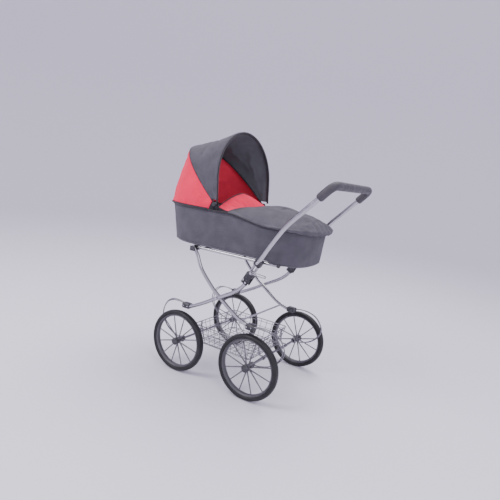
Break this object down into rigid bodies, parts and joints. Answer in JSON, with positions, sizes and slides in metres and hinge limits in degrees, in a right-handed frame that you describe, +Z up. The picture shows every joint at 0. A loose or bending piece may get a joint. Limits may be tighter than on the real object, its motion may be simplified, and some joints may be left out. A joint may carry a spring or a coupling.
{
  "type": "doll stroller",
  "caption": "Doll stroller with spoked wheels on C springs, a folding crossed-leg frame, a lift-off carrycot, a folding hood, a foot cover and a wire basket.",
  "frame": {"origin": "centre of the bounding box's bottom face, on the ground between the wheels", "axes": "+Z up, +X towards the push handle, -X towards the hood, +Y to the right-hand side of somebody who pushes"},
  "size_m": [0.6697, 0.4, 0.835],
  "materials": {
    "chromed_steel": "bright, lightly brushed",
    "silver_plastic": "satin, moulded",
    "foam_tyre": "matt foam",
    "black_plastic": "satin, moulded",
    "foam_grip": "matt foam",
    "grey_fabric": "woven, matt",
    "coral_fabric": "woven, matt",
    "white_fabric": "quilted, matt",
    "board": "raw fibre board"
  },
  "bodies": {
    "carrier": {"carrier_rail_left": "chromed_steel", "carrier_rail_right": "chromed_steel", "carrier_bracket_left": "black_plastic", "carrier_bracket_right": "black_plastic", "carrier_crossbar_front": "chromed_steel", "carrier_crossbar_rear": "chromed_steel"},
    "rear_legs": {"rear_leg_left": "chromed_steel", "rear_leg_right": "chromed_steel", "c_spring_rear_left": "chromed_steel", "c_spring_rear_right": "chromed_steel", "rear_bracket_left": "black_plastic", "rear_bracket_right": "black_plastic", "rear_axle": "chromed_steel", "rear_tie_bar": "chromed_steel"},
    "front_legs": {"front_leg_left": "chromed_steel", "front_leg_right": "chromed_steel", "crossing_rivet_left": "chromed_steel", "crossing_rivet_right": "chromed_steel", "c_spring_front_left": "chromed_steel", "c_spring_front_right": "chromed_steel", "front_bracket_left": "black_plastic", "front_bracket_right": "black_plastic", "front_axle": "chromed_steel"},
    "basket": {"wire_basket": "chromed_steel"},
    "handle": {"handle_tube": "chromed_steel", "handle_grip": "foam_grip", "handle_strut_front_left": "chromed_steel", "handle_strut_front_right": "chromed_steel", "handle_strut_rear_left": "chromed_steel", "handle_strut_rear_right": "chromed_steel", "fold_joint_left": "black_plastic", "fold_joint_right": "black_plastic", "knee_bracket_left": "black_plastic", "knee_bracket_right": "black_plastic", "frame_lock_pin": "chromed_steel"},
    "frame_lock": {"frame_lock_loop": "chromed_steel"},
    "carrycot": {"carrycot_shell": "grey_fabric", "base_board": "board", "mattress": "white_fabric", "foot_cover": "grey_fabric", "wind_flap": "coral_fabric", "hood_pivot_left": "black_plastic", "hood_pivot_right": "black_plastic", "hood_rear_panel": "coral_fabric"},
    "hood_middle": {"hood_middle_bow": "black_plastic", "hood_front_panel": "grey_fabric"},
    "hood_front": {"hood_front_bow": "black_plastic"},
    "wheel_front_left": {"tyre_front_left": "foam_tyre", "spoked_wheel_front_left": "silver_plastic", "hub_cap_front_left": "black_plastic"},
    "wheel_front_right": {"tyre_front_right": "foam_tyre", "spoked_wheel_front_right": "silver_plastic", "hub_cap_front_right": "black_plastic"},
    "wheel_rear_left": {"tyre_rear_left": "foam_tyre", "spoked_wheel_rear_left": "silver_plastic", "hub_cap_rear_left": "black_plastic"},
    "wheel_rear_right": {"tyre_rear_right": "foam_tyre", "spoked_wheel_rear_right": "silver_plastic", "hub_cap_rear_right": "black_plastic"}
  },
  "joints": [
    {"name": "frame_fold", "type": "hinge", "parent": "carrier", "child": "handle", "pos_m": [0.1175, 0, 0.434], "axis": [0, -1, 0], "range_deg": [0, 45]},
    {"name": "rear_leg_swing", "type": "hinge", "parent": "carrier", "child": "rear_legs", "pos_m": [-0.147, 0, 0.434], "axis": [0, -1, 0], "range_deg": [0, 14]},
    {"name": "front_leg_swing", "type": "hinge", "parent": "rear_legs", "child": "front_legs", "pos_m": [-0.0195, 0, 0.289], "axis": [0, -1, 0], "range_deg": [-34, 0]},
    {"name": "basket_level", "type": "hinge", "parent": "rear_legs", "child": "basket", "pos_m": [0.139, 0, 0.1075], "axis": [0, -1, 0], "range_deg": [-14, 0]},
    {"name": "frame_lock", "type": "hinge", "parent": "handle", "child": "frame_lock", "pos_m": [0.104, -0.1708, 0.402], "axis": [0, -1, 0], "range_deg": [0, 35]},
    {"name": "carrycot_lift", "type": "slide", "parent": "carrier", "child": "carrycot", "axis": [0, 0, 1], "range_m": [0, 0.36]},
    {"name": "hood_fold", "type": "hinge", "parent": "carrycot", "child": "hood_middle", "pos_m": [-0.07, 0, 0.59], "axis": [0, -1, 0], "range_deg": [0, 35], "deforming": ["hood_rear_panel"]},
    {"name": "hood_front_fold", "type": "hinge", "parent": "hood_middle", "child": "hood_front", "pos_m": [-0.07, 0, 0.59], "axis": [0, -1, 0], "range_deg": [0, 44], "deforming": ["hood_front_panel"]},
    {"name": "wheel_front_left_spin", "type": "hinge", "parent": "front_legs", "child": "wheel_front_left", "pos_m": [-0.148, -0.1795, 0.1075], "axis": [0, 1, 0], "continuous": true},
    {"name": "wheel_front_right_spin", "type": "hinge", "parent": "front_legs", "child": "wheel_front_right", "pos_m": [-0.148, 0.1795, 0.1075], "axis": [0, 1, 0], "continuous": true},
    {"name": "wheel_rear_left_spin", "type": "hinge", "parent": "rear_legs", "child": "wheel_rear_left", "pos_m": [0.139, -0.1795, 0.1075], "axis": [0, 1, 0], "continuous": true},
    {"name": "wheel_rear_right_spin", "type": "hinge", "parent": "rear_legs", "child": "wheel_rear_right", "pos_m": [0.139, 0.1795, 0.1075], "axis": [0, 1, 0], "continuous": true}
  ],
  "couplings": [
    {"joint": "rear_leg_swing", "follows": "frame_fold", "ratio": 0.3082},
    {"joint": "front_leg_swing", "follows": "frame_fold", "ratio": -0.7476},
    {"joint": "basket_level", "follows": "frame_fold", "ratio": -0.3082},
    {"joint": "hood_front_fold", "follows": "hood_fold", "ratio": 1.23}
  ]
}
